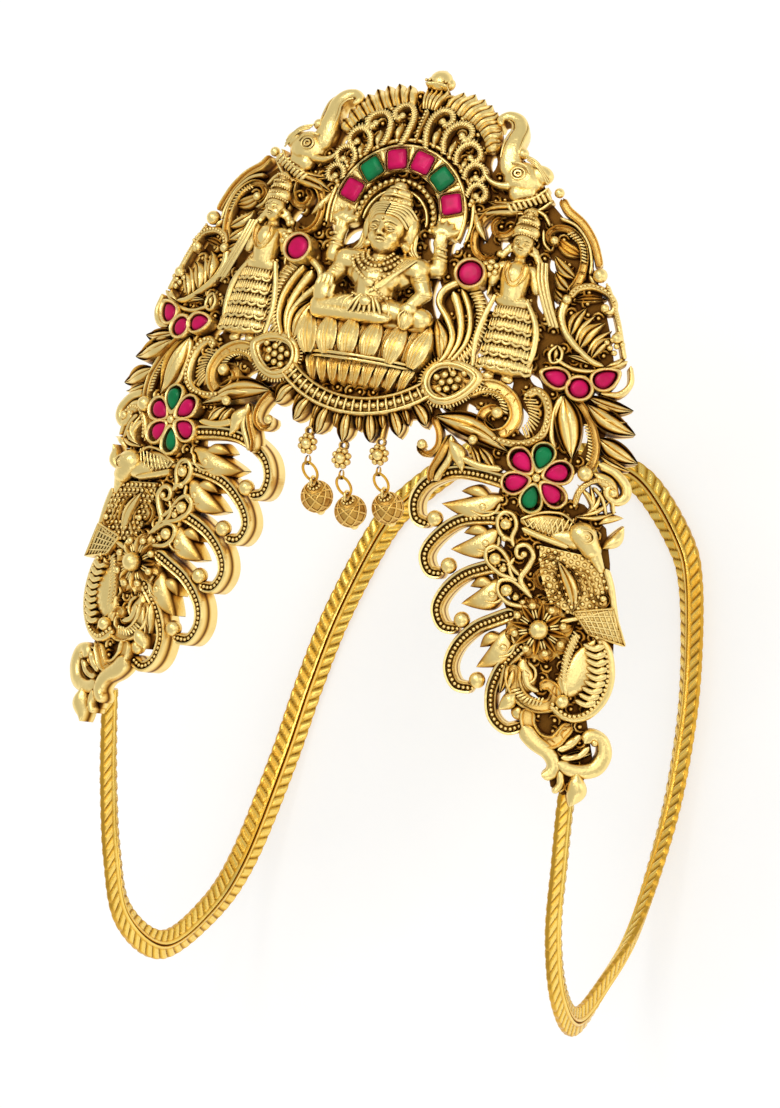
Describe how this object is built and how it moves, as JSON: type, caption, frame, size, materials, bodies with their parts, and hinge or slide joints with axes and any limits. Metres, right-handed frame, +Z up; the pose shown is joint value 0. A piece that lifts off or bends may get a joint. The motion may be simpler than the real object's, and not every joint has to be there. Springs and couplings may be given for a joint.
{
  "type": "bajuband armlet",
  "caption": "Upper-arm armlet: a pierced, cast front plaque in the shape of an upturned V with set stones and bead drops, on a slim strip that loops round the back of the arm",
  "frame": {"origin": "on the surface the armlet lies on, under the middle of its box", "axes": "+X across the arm to the wearer's side of the right wing in the picture, +Y along the arm towards the shoulder and the finial, +Z up through the front plaque"},
  "size_m": [0.0924, 0.1368, 0.0867],
  "materials": {
    "antique_gold": "cast, antique gold plate with dark brown patina in the recesses",
    "bright_gold": "brighter satin gold plate",
    "pink_glass": "polished, foil-backed pink glass",
    "green_glass": "polished, foil-backed green glass"
  },
  "bodies": {
    "root": {"front_plaque": "antique_gold", "arm_strip": "bright_gold", "halo_stone_1": "pink_glass", "halo_stone_2": "green_glass", "halo_stone_3": "pink_glass", "halo_stone_4": "pink_glass", "halo_stone_5": "green_glass", "halo_stone_6": "pink_glass", "flower_stone_right_1": "green_glass", "flower_stone_right_2": "pink_glass", "flower_stone_right_3": "pink_glass", "flower_stone_right_4": "green_glass", "flower_stone_right_5": "pink_glass", "flower_stone_right_6": "pink_glass", "flower_stone_left_1": "green_glass", "flower_stone_left_2": "pink_glass", "flower_stone_left_3": "pink_glass", "flower_stone_left_4": "green_glass", "flower_stone_left_5": "pink_glass", "flower_stone_left_6": "pink_glass", "triple_stone_right_1": "pink_glass", "triple_stone_right_2": "pink_glass", "triple_stone_right_3": "pink_glass", "triple_stone_left_1": "pink_glass", "triple_stone_left_2": "pink_glass", "triple_stone_left_3": "pink_glass", "stalk_stone_right": "pink_glass", "stalk_stone_left": "pink_glass", "jump_ring_1": "bright_gold", "jump_ring_2": "bright_gold", "jump_ring_3": "bright_gold", "bead_drop_1": "antique_gold", "bead_drop_2": "antique_gold", "bead_drop_3": "antique_gold"}
  },
  "joints": []
}
